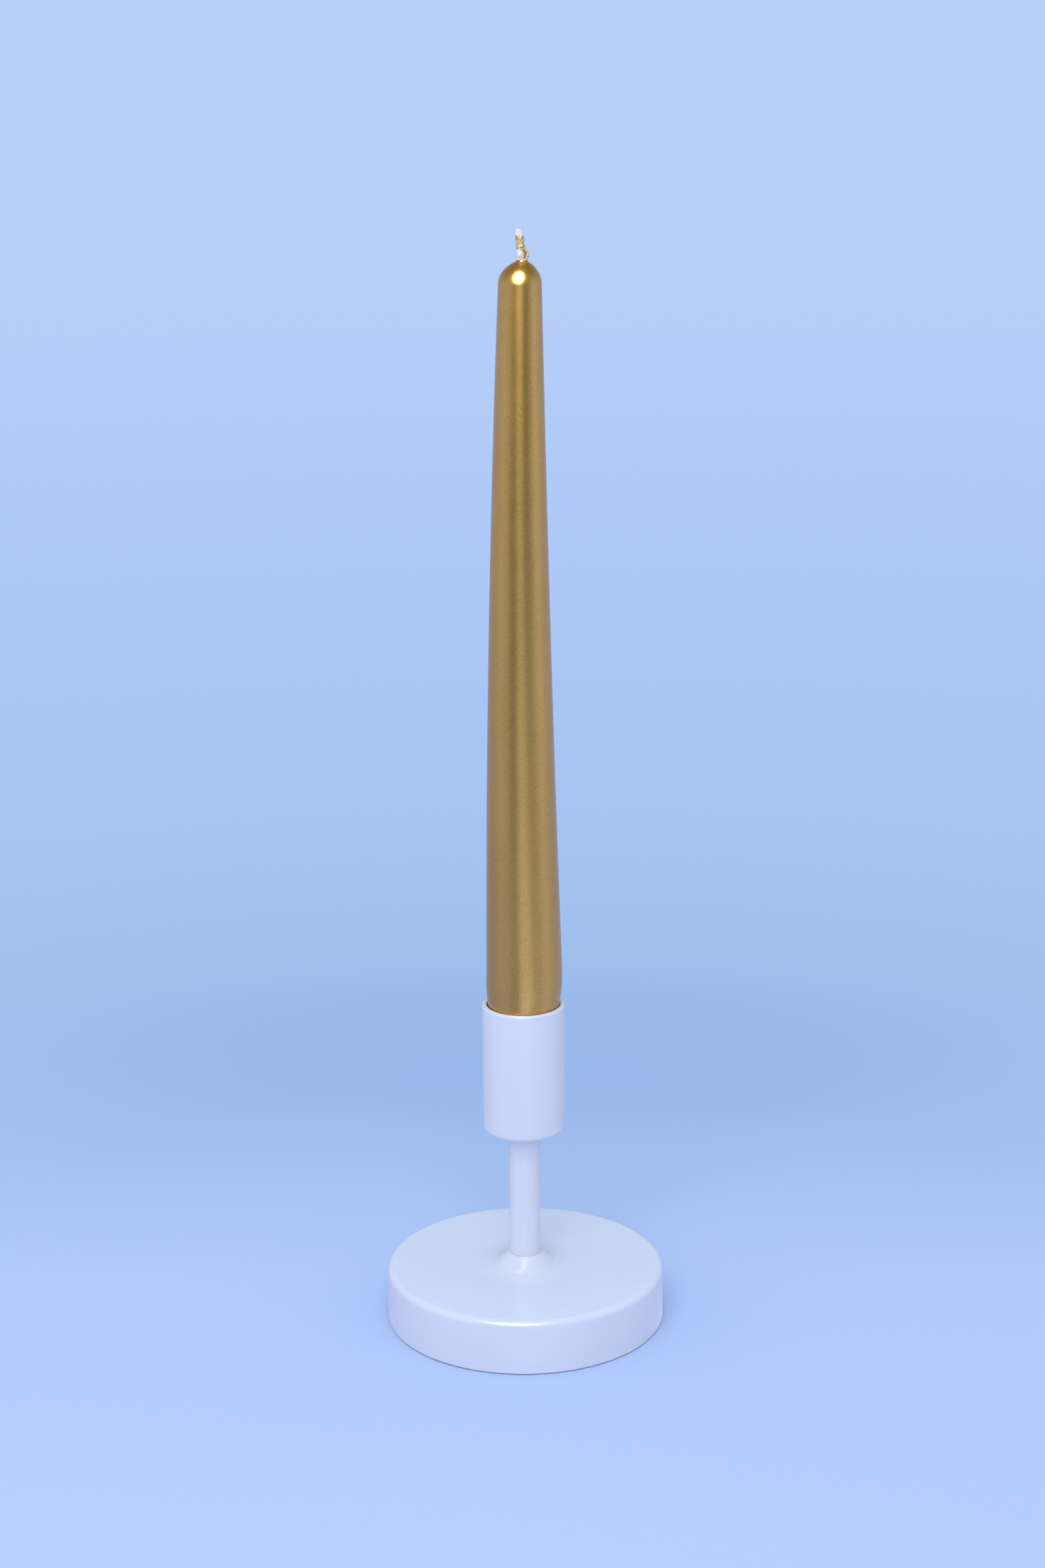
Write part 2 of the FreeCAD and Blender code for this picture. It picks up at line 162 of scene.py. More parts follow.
class Shading:
    """A material's node tree, with short calls for the nodes that these materials use."""

    def __init__(self, name):
        self.material = bpy.data.materials.new(name)
        self.material.use_nodes = True
        self.tree = self.material.node_tree
        self.surface = self.tree.nodes["Principled BSDF"]
        self.place = self.node("ShaderNodeTexCoord").outputs["Object"]

    def node(self, kind, **settings):
        made = self.tree.nodes.new(kind)
        for key, setting in settings.items():
            setattr(made, key, setting)
        return made

    def link(self, source, target):
        self.tree.links.new(source, target)

    def stretched(self, scale):
        """The object's coordinates, scaled differently along each axis."""
        mapping = self.node("ShaderNodeMapping")
        mapping.inputs["Scale"].default_value = scale
        self.link(self.place, mapping.inputs["Vector"])
        return mapping.outputs["Vector"]

    def cloud(self, per_metre, detail=3.0, roughness=0.5, place=None):
        """Noise with that many features to the metre."""
        made = self.node("ShaderNodeTexNoise")
        made.inputs["Scale"].default_value = per_metre
        made.inputs["Detail"].default_value = detail
        made.inputs["Roughness"].default_value = roughness
        self.link(place or self.place, made.inputs["Vector"])
        return made.outputs["Fac"]

    def cells(self, per_metre, output="Distance"):
        """Cells, that many to the metre, by the distance from their middles or by a colour each."""
        made = self.node("ShaderNodeTexVoronoi")
        made.inputs["Scale"].default_value = per_metre
        self.link(self.place, made.inputs["Vector"])
        return made.outputs[output]

    def spread(self, source, low, high, to_low=0.0, to_high=1.0):
        """Maps a range of values on to another, and holds its ends."""
        made = self.node("ShaderNodeMapRange")
        for name, number in zip(("From Min", "From Max", "To Min", "To Max"), (low, high, to_low, to_high)):
            made.inputs[name].default_value = number
        self.link(source, made.inputs["Value"])
        return made.outputs["Result"]

    def colours(self, source, *stops):
        """A ramp of (position, colour) stops."""
        made = self.node("ShaderNodeValToRGB")
        ramp = made.color_ramp
        for element, (position, colour) in zip(ramp.elements, (stops[0], stops[-1])):
            element.position = position
            element.color = (*colour, 1)
        for position, colour in stops[1:-1]:
            ramp.elements.new(position).color = (*colour, 1)
        self.link(source, made.inputs["Fac"])
        return made.outputs["Color"]

    def blend(self, share, first, second):
        """Mixes two colours, each a socket or three numbers."""
        made = self.node("ShaderNodeMix", data_type="RGBA")
        self.link(share, made.inputs[0])
        for side, colour in ((6, first), (7, second)):
            if isinstance(colour, tuple):
                made.inputs[side].default_value = (*colour, 1)
            else:
                self.link(colour, made.inputs[side])
        return made.outputs[2]

    def add(self, first, second, weight=1.0):
        """The first value plus a share of the second."""
        made = self.node("ShaderNodeMath", operation="MULTIPLY_ADD")
        self.link(second, made.inputs[0])
        made.inputs[1].default_value = weight
        self.link(first, made.inputs[2])
        return made.outputs[0]

    def bumps(self, height, rise):
        """Relief whose full height is that many metres."""
        made = self.node("ShaderNodeBump")
        made.inputs["Strength"].default_value = 1.0
        made.inputs["Distance"].default_value = rise
        self.link(height, made.inputs["Height"])
        self.link(made.outputs["Normal"], self.surface.inputs["Normal"])

    def set(self, **numbers):
        """Numbers that are the same all over, set on the shader's own sockets."""
        for name, number in numbers.items():
            self.surface.inputs[name.replace("_", " ")].default_value = number

    def colour(self, source):
        self.link(source, self.surface.inputs["Base Color"])

    def roughness(self, source):
        self.link(source, self.surface.inputs["Roughness"])


def powder_coat():
    """Pale blue-white powder coat: faint clouding, orange peel, and a rare dark grain of dust."""
    look = Shading("powder_coat")
    clouds = look.cloud(38, detail=4)
    paint = look.colours(clouds, (0.3, (0.660, 0.680, 0.786)), (0.7, (0.680, 0.700, 0.806)))
    dust = look.spread(look.cells(170), 0.012, 0.03, 1.0, 0.0)
    look.colour(look.blend(dust, paint, (0.40, 0.43, 0.55)))
    look.roughness(look.spread(look.cloud(420, detail=2), 0.3, 0.7, 0.16, 0.21))
    peel = look.add(look.cloud(900, detail=1), look.cloud(2600, detail=1), 0.35)
    look.bumps(peel, 0.006 * MM)
    look.set(Specular_IOR_Level=0.22)
    return look.material


def gold_lacquer(name, flakes_per_metre, satin):
    """Satin gold lacquer over wax: fine flakes, faint streaks down the dip, a clear top coat."""
    look = Shading(name)
    streaks = look.cloud(260, detail=3, place=look.stretched((1, 1, 0.12)))
    tone = look.colours(streaks, (0.3, (0.42, 0.246, 0.042)), (0.7, (0.48, 0.282, 0.052)))
    flakes = look.cells(flakes_per_metre, "Color")
    tint = look.node("ShaderNodeSeparateColor")
    look.link(flakes, tint.inputs[0])
    fleck = look.spread(tint.outputs[0], 0.0, 1.0, 0.0, 0.6)
    look.colour(look.blend(fleck, tone, (0.62, 0.385, 0.105)))
    look.roughness(look.spread(look.cloud(150, detail=1), 0.3, 0.7, satin, satin + 0.018))
    relief = look.add(look.spread(tint.outputs[1], 0, 1), look.cloud(2600, detail=2), 0.8)
    look.bumps(relief, 0.003 * MM)
    look.set(Metallic=0.92, Specular_IOR_Level=0.5, Coat_Weight=0.45, Coat_Roughness=0.26)
    return look.material


def gilt_cotton():
    """A thin wash of gold over cotton: pale, with brown patches at random."""
    look = Shading("gilt_cotton")
    wash = look.cloud(1900, detail=3)
    brown, gold, pale_gold = (0.24, 0.14, 0.05), (0.50, 0.36, 0.17), (0.58, 0.45, 0.25)
    look.colour(look.colours(wash, (0.32, brown), (0.46, gold), (0.75, pale_gold)))
    look.roughness(look.spread(look.cloud(3000), 0.3, 0.7, 0.55, 0.72))
    look.bumps(look.cloud(5200, detail=3), 0.03 * MM)
    look.set(Metallic=0.3)
    return look.material


def candle_wax():
    """Ivory paraffin: cloudy, slightly clear, with small pits."""
    look = Shading("candle_wax")
    tone = look.colours(look.cloud(120, detail=4), (0.3, (0.80, 0.77, 0.68)), (0.7, (0.88, 0.86, 0.79)))
    look.colour(tone)
    look.roughness(look.spread(look.cloud(300), 0.3, 0.7, 0.34, 0.5))
    look.bumps(look.cloud(1500, detail=3), 0.02 * MM)
    look.set(Subsurface_Weight=0.6, Subsurface_Scale=1.5 * MM, IOR=1.44)
    look.surface.inputs["Subsurface Radius"].default_value = (1.0, 0.8, 0.6)
    return look.material


def waxed_cotton(name, shaded, bright):
    """Cotton braid stiff with wax: threads along the braid, between two tones."""
    look = Shading(name)
    tone = look.colours(look.cloud(2200, detail=4), (0.3, shaded), (0.7, bright))
    look.colour(tone)
    look.roughness(look.spread(look.cloud(2600), 0.3, 0.7, 0.38, 0.62))
    look.bumps(look.cloud(6500, detail=3), 0.05 * MM)
    look.set(Sheen_Weight=0.2)
    return look.material


def grey_felt():
    """Wool felt: matted fibres and a soft sheen."""
    look = Shading("grey_felt")
    fibres = look.cloud(2600, detail=6, roughness=0.7)
    look.colour(look.colours(fibres, (0.3, (0.045, 0.046, 0.050)), (0.7, (0.13, 0.13, 0.14))))
    look.roughness(look.spread(fibres, 0.3, 0.7, 0.85, 1.0))
    look.bumps(look.add(fibres, look.cloud(700, detail=3), 1.0), 0.25 * MM)
    look.set(Sheen_Weight=0.35)
    return look.material


def zinc_plate():
    """Bright zinc on steel: fine turning lines and a little clouding."""
    look = Shading("zinc_plate")
    tone = look.colours(look.cloud(500, detail=3), (0.3, (0.50, 0.51, 0.53)), (0.7, (0.66, 0.67, 0.69)))
    look.colour(tone)
    look.roughness(look.spread(look.cloud(900), 0.3, 0.7, 0.24, 0.4))
    look.bumps(look.cloud(1800, place=look.stretched((1, 1, 6))), 0.01 * MM)
    look.set(Metallic=1.0)
    return look.material


def bare_iron():
    """Cast iron as it leaves the sand: dark grey and grainy."""
    look = Shading("bare_iron")
    sand = look.cloud(1400, detail=5, roughness=0.65)
    look.colour(look.colours(sand, (0.3, (0.040, 0.040, 0.043)), (0.7, (0.095, 0.094, 0.095))))
    look.roughness(look.spread(sand, 0.3, 0.7, 0.55, 0.8))
    look.bumps(sand, 0.2 * MM)
    look.set(Metallic=0.7)
    return look.material


# ---------------------------------------------------------------------------------------------
# The stick
# ---------------------------------------------------------------------------------------------

ROUND_SIDES = 256  # sides of the large turned pieces
PAINT = powder_coat()
GOLD = gold_lacquer("gold_lacquer", 4600, 0.25)
RUN_GOLD = gold_lacquer("run_gold", 4600, 0.30)
CREASE_GOLD = gold_lacquer("crease_gold", 4600, 0.40)
GILT = gilt_cotton()
WAX = candle_wax()
COTTON = waxed_cotton("waxed_cotton", (0.70, 0.69, 0.68), (0.89, 0.89, 0.88))
FRAYED_COTTON = waxed_cotton("frayed_cotton", (0.48, 0.44, 0.42), (0.74, 0.71, 0.70))


def model_base():
    """Spun shell: rounded top edge, and a hollow curve up to the stem's collar."""
    hanging_coat, unevenness = 0.25 * MM, 0.14 * MM
    foot = foot_of("base_shell") - hanging_coat
    bore = BASE_RADIUS - SHELL_TOP_WALL
    edge, inside_edge, lip, collar_lip = 2.0 * MM, 0.5 * MM, 0.4 * MM, 0.28 * MM
    collar, mound, flare = STEM_RADIUS + collar_lip, 9.6 * MM, 3.7 * MM
    flare_steps, flare_curve = 24, 1.08
    throat = radii_at("base_shell", COLLAR_TOP)[0]
    section = [(bore, foot)]
    section += corner(BASE_RADIUS - lip, foot + lip, lip, -90, 0, 5)
    section += corner(BASE_RADIUS - edge, BASE_TOP - edge, edge, 0, 90, 12)
    section += [(BASE_RADIUS * share, BASE_TOP) for share in (0.8, 0.6, 0.4)]
    for i in range(flare_steps + 1):
        share = i / flare_steps
        section.append((mound + (collar - mound) * share, BASE_TOP + flare * share**flare_curve))
    section += corner(STEM_RADIUS, COLLAR_TOP - collar_lip, collar_lip, 0, 90, 4)
    section += [(throat, COLLAR_TOP), (throat, BASE_TOP + flare)]
    section += corner(collar + flare, BASE_TOP + flare, flare + SHELL_TOP_WALL, 180, 270, 10)[1:]
    section += corner(bore - inside_edge, BASE_TOP - edge, inside_edge, 90, 0, 4)
    section += [(bore, foot)]
    piece = spun("base_skin", section, ROUND_SIDES)
    for v in piece.data.vertices:
        reach = math.hypot(v.co.x, v.co.y)
        if v.co.z >= BASE_TOP and collar < reach < mound:
            between = eased((mound - reach) / MM) * eased((reach - collar) / MM)
            v.co.z += unevenness * ripple(v.co, 420) * between
    smooth(piece)
    return seat(piece, "holder", "white_coat", PAINT, "base_shell")


def model_cup():
    """Turned cup: rounded rim and lower edge, blind socket, seats for the screw and the stem."""
    edge, rim, rim_inside, socket_corner = 2.0 * MM, 0.65 * MM, 0.3 * MM, 0.5 * MM
    wall, play = 1.5 * MM, 0.05 * MM
    bore, seat_radius = CUP_RADIUS - wall, STEM_RADIUS + play
    hole, countersink = 2.75 * MM, 5.0 * MM
    stem_top = top_of("stem")
    section = [(hole, stem_top), (seat_radius, stem_top), (seat_radius, CUP_UNDERSIDE)]
    section += corner(CUP_RADIUS - edge, CUP_UNDERSIDE + edge, edge, -90, 0, 12)
    section += [(CUP_RADIUS, CUP_UNDERSIDE + (CUP_RIM - CUP_UNDERSIDE) * share) for share in (0.35, 0.7)]
    section += corner(CUP_RADIUS - rim, CUP_RIM - rim, rim, 0, 90, 8)
    section += corner(bore + rim_inside, CUP_RIM - rim_inside, rim_inside, 90, 180, 6)
    section += corner(bore - socket_corner, SOCKET_FLOOR + socket_corner, socket_corner, 0, -90, 4)
    section += [(countersink, SOCKET_FLOOR), (hole, SOCKET_FLOOR - (countersink - hole)), (hole, stem_top)]
    piece = spun("cup_skin", section, ROUND_SIDES // 2)
    smooth(piece)
    return seat(piece, "holder", "white_coat", PAINT, "cup")


def model_stem():
    """Round rod: a spigot below the collar, a rounded shoulder on it, and a tapped hole at each end."""
    foot, top = foot_of("stem"), top_of("stem")
    spigot = radii_at("stem", foot)[-1]
    thread = radii_at("stem", foot)[0]
    rounding, drill_point = 0.15 * MM, 1 * MM
    hole_from_below, hole_from_above = 13 * MM, 10 * MM
    section = [(0, foot + hole_from_below + drill_point), (thread, foot + hole_from_below), (thread, foot)]
    section += [(spigot, foot), (spigot, COLLAR_TOP), (STEM_RADIUS - rounding, COLLAR_TOP)]
    section += corner(STEM_RADIUS - rounding, COLLAR_TOP + rounding, rounding, -90, 0, 4)
    section += [(STEM_RADIUS, COLLAR_TOP + (top - COLLAR_TOP) * share) for share in (0.25, 0.5, 0.75)]
    section += [(STEM_RADIUS, top), (thread, top), (thread, top - hole_from_above)]
    section += [(0, top - hole_from_above - drill_point)]
    piece = spun("stem_rod", section, 96)
    smooth(piece)
    return seat(piece, "holder", "white_coat", PAINT, "stem")


model_base()
model_cup()
model_stem()

# ---------------------------------------------------------------------------------------------
# The candle
# ---------------------------------------------------------------------------------------------

SHOULDER = CUP_RIM + 7.5 * MM  # height of the candle's widest place
SHOULDER_RADIUS = CANDLE_RADIUS + 0.12 * MM
NECK_RADIUS = 6.28 * MM
NECK_HEIGHT = WAX_TIP - 6.7 * MM  # where the side turns into the dome
COAT = 0.35 * MM  # thickness of the gold
CANDLE_SIDES = 144


def dome_radius(height, neck, tip):
    """The dome between the neck and the tip, a little slimmer than a ball's."""
    share = min((height - NECK_HEIGHT) / (tip - NECK_HEIGHT), 1)
    return neck * (1 - share**2) ** 0.58


def side_radius(height):
    """Over the coat: the foot in the socket, the shoulder, then the long taper."""
    if height < SHOULDER:
        waist, waist_curve, drop_to_rim = 0.66 * MM, 1.5, SHOULDER - CUP_RIM
        bulge, bulge_over, foot_taper = 0.09 * MM, 1.5 * MM, 0.02
        drop = min(SHOULDER - height, drop_to_rim)
        in_cup = max(CUP_RIM - height, 0)
        pressed_out = bulge * eased(in_cup / bulge_over) - foot_taper * in_cup
        return SHOULDER_RADIUS - waist * (drop / drop_to_rim) ** waist_curve + pressed_out
    share = (height - SHOULDER) / (NECK_HEIGHT - SHOULDER)
    belly = 0.33 * MM
    straight = CANDLE_RADIUS + (NECK_RADIUS - CANDLE_RADIUS) * share
    return straight + (SHOULDER_RADIUS - CANDLE_RADIUS) * (1 - share) ** 3 + 4 * belly * share * (1 - share)


def lean(height):
    """How far the candle's middle stands off the axis: a long slight bow, and a tip to one side."""
    bow_middle, half_bow, free_from, free_over = 215 * MM, 107 * MM, 100 * MM, 16 * MM
    share = (height - bow_middle) / half_bow
    bow = (-0.25 + 0.06 * share + 0.78 * share**2) * MM
    in_socket, tip_aside = 0.05 * MM, 0.55 * MM
    free = eased((height - free_from) / free_over)
    dome = min(max(height - NECK_HEIGHT, 0) / (WAX_TIP - NECK_HEIGHT), 1)
    return in_socket + (bow - in_socket) * free + tip_aside * dome**4


def forward(height):
    """The candle rests against the front of the socket and stands upright above it."""
    at_rim, upright_over = 0.1 * MM, 80 * MM
    return at_rim * (1 - eased((height - CUP_RIM) / upright_over))


def dip_waves(v):
    """Moves a corner of the candle by the lean, and by the low waves that dipping leaves."""
    broad_wave, small_wave = 0.0011, 0.0001  # shares of the radius
    stretched = Vector((v.co.x, v.co.y, v.co.z * 0.35))
    swell = 1 + broad_wave * ripple(stretched, 90) + small_wave * ripple(v.co, 420)
    v.co.x = v.co.x * swell + lean(v.co.z)
    v.co.y = v.co.y * swell - forward(v.co.z)


def model_candle_coat():
    """The gold skin: open at the cut foot, and drawn up into a small nipple round the wick."""
    wick_hole, nipple, lip_radius, lip_inside = 0.9 * MM, 1.62 * MM, 0.2 * MM, 0.16 * MM
    torn, torn_over = 0.5 * MM, 4 * MM
    rings, dome_rings, inner_rings_apart = 260, 40, 12
    heights = [CANDLE_FOOT + (NECK_HEIGHT - CANDLE_FOOT) * i / rings for i in range(rings)]
    outer = [(side_radius(z), z) for z in heights]
    for i in range(dome_rings):
        z = NECK_HEIGHT + (WAX_TIP - NECK_HEIGHT) * math.sin(math.radians(90) * i / dome_rings)
        outer.append(((dome_radius(z, NECK_RADIUS, WAX_TIP) ** 4 + nipple**4) ** 0.25, z))
    lip = corner(nipple - lip_radius, WAX_TIP, lip_radius, 0, 90, 5)
    inner = [(side_radius(z) - COAT, z) for z in heights[::-inner_rings_apart]]
    inner_tip = WAX_TIP - COAT
    dome_inside = [inner_tip - step * MM for step in (0.3, 1.0, 2.0, 3.5, 5.0)]
    crown = [(max(dome_radius(z, NECK_RADIUS - COAT, inner_tip), wick_hole), z) for z in dome_inside]
    section = outer + lip + [(wick_hole, WAX_TIP + lip_inside), (wick_hole, inner_tip)] + crown + inner
    section += [(outer[0][0] - COAT, CANDLE_FOOT), outer[0]]
    piece = spun("candle_coat", section, CANDLE_SIDES)
    for v in piece.data.vertices:
        ragged = max(1 - (v.co.z - CANDLE_FOOT) / torn_over, 0)
        v.co.z += torn * ragged * (0.5 + ripple(v.co, 260))
        dip_waves(v)
    smooth(piece, 60)
    return seat(piece, "candle", "gold_lacquer", GOLD, "gold_coat")


def model_wax_core():
    """The white taper inside the gold, cut across at its foot."""
    gap, chamfer, saw_mark = 0.02 * MM, 0.3 * MM, 0.06 * MM
    rings, dome_rings = 120, 16
    foot_radius = side_radius(CANDLE_FOOT) - COAT - gap
    section = [(foot_radius * share, CANDLE_FOOT) for share in (0, 0.15, 0.3, 0.5, 0.7, 0.85)]
    section += [(foot_radius - chamfer, CANDLE_FOOT), (foot_radius, CANDLE_FOOT + chamfer)]
    for i in range(1, rings):
        z = CANDLE_FOOT + chamfer + (NECK_HEIGHT - CANDLE_FOOT - chamfer) * i / rings
        section.append((side_radius(z) - COAT - gap, z))
    tip = WAX_TIP - COAT - gap
    for i in range(dome_rings + 1):
        z = NECK_HEIGHT + (tip - NECK_HEIGHT) * math.sin(math.radians(90) * i / dome_rings)
        section.append((dome_radius(z, NECK_RADIUS - COAT - gap, tip), z))
    piece = spun("wax_core_body", section, CANDLE_SIDES)
    for v in piece.data.vertices:
        if v.co.z < CANDLE_FOOT + 0.1 * MM:
            v.co.z += saw_mark * (1 + ripple(Vector((v.co.x * 0.2, v.co.y, 0)), 900))
        dip_waves(v)
    smooth(piece, 50)
    return seat(piece, "candle", "white_wax", WAX, "wax_core")


# ---------------------------------------------------------------------------------------------
# The wick
# ---------------------------------------------------------------------------------------------

APEX = Vector((lean(WAX_TIP), 0, WAX_TIP))
WICK_RADIUS = 1.08 * MM
WICK_SIDES = 48
WICK_CUT = top_of("wick") - WAX_TIP - 0.7 * MM  # the cut end's middle, above the wax
GILT_FROM, GILT_TO = 3.3 * MM, 7.2 * MM  # the gilt length of the wick, above the wax


def wick_middle(rise):
    """Where the wick's middle stands at a height above the wax: down the candle, or up the stub."""
    height = WAX_TIP + rise
    bend_below, bend_over = 7 * MM, 8 * MM
    stub_aside, slope_aside, slope_forward = 0.24 * MM, 0.058, 0.05
    out = eased((rise + bend_below) / bend_over)
    stub = APEX.x - stub_aside - slope_aside * rise
    across = lean(min(height, WAX_TIP)) * (1 - out) + stub * out
    return Vector((across, -forward(height) - slope_forward * rise * out, height))


def plait(angle, rise):
    """The height of the plait's surface, from 0 in a crease to 1 on a strand."""
    strands, lay = 4, 2.4 * MM
    along, about = rise / lay, strands * angle / math.tau
    one, other = about + along, about - along
    first = 0.5 - 0.5 * math.cos(math.tau * one)
    second = 0.5 - 0.5 * math.cos(math.tau * other)
    if (math.floor(one) + math.floor(other)) % 2:
        first, second = second, first
    return max(first, 0.6 * second)


def along_wick(piece, relief, fuzz):
    """Raises the plait on a straight turned piece, then sets it along the wick's line."""
    for v in piece.data.vertices:
        angle, rise = math.atan2(v.co.y, v.co.x), v.co.z - WAX_TIP
        reach = math.hypot(v.co.x, v.co.y)
        rim = eased(reach / (0.8 * WICK_RADIUS))
        reach += rim * (relief * (plait(angle, rise) - 0.5) + fuzz * ripple(v.co, 2600))
        across = Vector((reach * math.cos(angle), reach * math.sin(angle), 0))
        v.co = wick_middle(rise) + across


def cut_slant(across):
    """How far the wick's cut end stands above or below its middle, that far to one side of it."""
    return -0.6 * across - 0.7 * across**2 / MM


def model_wick_plait():
    """The cotton from the candle's foot to its cut end above the wax."""
    fine_from, fine_rings, deep_rings, apart = -8 * MM, 110, 61, 4 * MM
    deep = [foot_of("wick") - WAX_TIP + apart * i for i in range(deep_rings)]
    shown = [fine_from + (WICK_CUT - fine_from) * i / fine_rings for i in range(fine_rings + 1)]
    rises = deep + shown
    section = [(0, WAX_TIP + rises[0] - 0.15 * MM), (WICK_RADIUS * 0.8, WAX_TIP + rises[0] - 0.1 * MM)]
    section += [(WICK_RADIUS, WAX_TIP + rise) for rise in rises]
    section += [(WICK_RADIUS * share, WAX_TIP + WICK_CUT) for share in (0.85, 0.6, 0.35, 0)]
    piece = spun("wick_plait", section, WICK_SIDES)
    along_wick(piece, 0.2 * MM, 0.05 * MM)
    cut_from, tufts = 6.8 * MM, 0.14 * MM
    for v in piece.data.vertices:
        rise = v.co.z - WAX_TIP
        if rise > cut_from:
            share = (rise - cut_from) / (WICK_CUT - cut_from)
            v.co.z += share * (cut_slant(v.co.x - wick_middle(rise).x) + tufts * ripple(v.co, 2400))
    smooth(piece, 70)
    return seat(piece, "candle", "waxed_cotton", COTTON, "wick")


def model_wick_gilding():
    """Gold that the dip left on the stub, thin enough for the plait to show through."""
    rings, wash, uneven_end = 40, 0.09 * MM, 0.45 * MM
    skin, inside = WICK_RADIUS + wash, WICK_RADIUS * 0.7
    section = [(inside, WAX_TIP + GILT_FROM)]
    for i in range(rings + 1):
        section.append((skin, WAX_TIP + GILT_FROM + (GILT_TO - GILT_FROM) * i / rings))
    section += [(inside, WAX_TIP + GILT_TO), section[0]]
    piece = spun("wick_gilding", section, WICK_SIDES)
    middle = WAX_TIP + (GILT_FROM + GILT_TO) / 2
    for v in piece.data.vertices:
        edge = abs(v.co.z - middle) / (GILT_TO - GILT_FROM) * 2
        around = Vector((v.co.x, v.co.y, middle))
        v.co.z += uneven_end * edge**3 * ripple(around, 1700)
    along_wick(piece, 0.16 * MM, 0.05 * MM)
    smooth(piece, 70)
    return seat(piece, "candle", "gold_lacquer", GILT)


def model_wick_knot():
    """The swollen, frayed cotton just over the wax that the gold ran off."""
    proportions, place = (1.32, 1.28, 2.05), Vector((-0.46, -0.12, 1.62)) * MM
    slimming, slim_from, slim_over, slope = 0.42, -0.5 * MM, 2.4 * MM, 0.10
    select_nothing()
    bpy.ops.mesh.primitive_ico_sphere_add(subdivisions=5, radius=1 * MM, location=(0, 0, 0))
    piece = named("wick_knot")
    bpy.ops.object.mode_set(mode="EDIT")
    bpy.ops.transform.resize(value=proportions)
    bpy.ops.object.mode_set(mode="OBJECT")
    for v in piece.data.vertices:
        way = v.co.normalized()
        tufts = 0.26 * ripple(v.co, 900) + 0.18 * ripple(v.co, 2300) + 0.08 * ripple(v.co, 5200)
        v.co += way * (tufts * MM)
        taper = 1 - slimming * eased((v.co.z - slim_from) / slim_over)
        v.co.x = v.co.x * taper + slope * v.co.z
        v.co.y *= taper
        v.co += APEX + place
    smooth(piece, 80)
    return seat(piece, "candle", "waxed_cotton", FRAYED_COTTON)


def drawn_run(name, points, thickness):
    """A run of lacquer: a round curve through points in millimetres from the wax's tip, made a mesh."""
    select_nothing()
    bpy.ops.curve.primitive_nurbs_path_add(location=(0, 0, 0))
    piece = bpy.context.object
    piece.name = name
    line = piece.data
    line.splines.clear()
    spline = line.splines.new("NURBS")
    spline.points.add(len(points) - 1)
    for knot, (x, y, z, share) in zip(spline.points, points):
        knot.co = (*(APEX + Vector((x, y, z)) * MM), 1)
        knot.radius = share
    spline.order_u = 3
    spline.use_endpoint_u = True
    spline.resolution_u = 10
    line.dimensions = "3D"
    line.bevel_depth = thickness / 2
    line.bevel_resolution = 5
    line.use_fill_caps = True
    bpy.ops.object.convert(target="MESH")
    bpy.ops.object.mode_set(mode="EDIT")
    bpy.ops.mesh.select_all(action="SELECT")
    bpy.ops.mesh.remove_doubles(threshold=0.001 * MM)
    bpy.ops.mesh.normals_make_consistent(inside=False)
    bpy.ops.object.mode_set(mode="OBJECT")
    piece.data.name = name
    wander = 0.05 * MM
    for v in piece.data.vertices:
        v.co.x += wander * ripple(v.co, 1800)
        v.co.z += wander * ripple(v.co + Vector((0, 0, 1)), 1800)
    smooth(piece, 70)
    return piece


def model_wick_runs():
    """Runs of gold that bridge from the stub to the wax on one side, and the crease over them.

    A point is its place in millimetres from the wax's tip, and its share of the run's thickness.
    """
    side_run = [
        (0.10, -0.95, 4.10, 0.6),
        (0.45, -0.85, 3.90, 0.9),
        (0.75, -0.75, 3.30, 1.0),
        (1.12, -0.60, 2.65, 1.05),
        (1.48, -0.50, 2.00, 1.1),
        (1.46, -0.50, 1.20, 1.1),
        (1.15, -0.50, 0.55, 1.05),
        (0.85, -0.50, -0.05, 1.1),
        (0.60, -0.40, -0.60, 1.0),
    ]
    inner_run = [
        (-0.35, -1.30, 3.45, 0.4),
        (0.05, -1.50, 3.35, 0.9),
        (0.42, -1.44, 3.05, 1.0),
        (0.72, -1.25, 2.35, 0.9),
        (0.98, -1.05, 1.50, 0.8),
        (1.00, -0.75, 0.80, 0.6),
        (0.85, -0.70, 0.10, 0.5),
    ]
    crease = [
        (-0.62, -1.36, 3.72, 0.5),
        (-0.25, -1.54, 3.95, 0.9),
        (0.20, -1.52, 4.22, 1.0),
        (0.58, -1.25, 4.32, 0.8),
        (0.84, -0.80, 4.15, 0.5),
    ]
    for name, points, thickness, gold in (
        ("wick_run_side", side_run, 0.84 * MM, GILT),
        ("wick_run_inner", inner_run, 0.50 * MM, RUN_GOLD),
        ("wick_crease", crease, 0.44 * MM, CREASE_GOLD),
    ):
        seat(drawn_run(name, points, thickness), "candle", "gold_lacquer", gold)


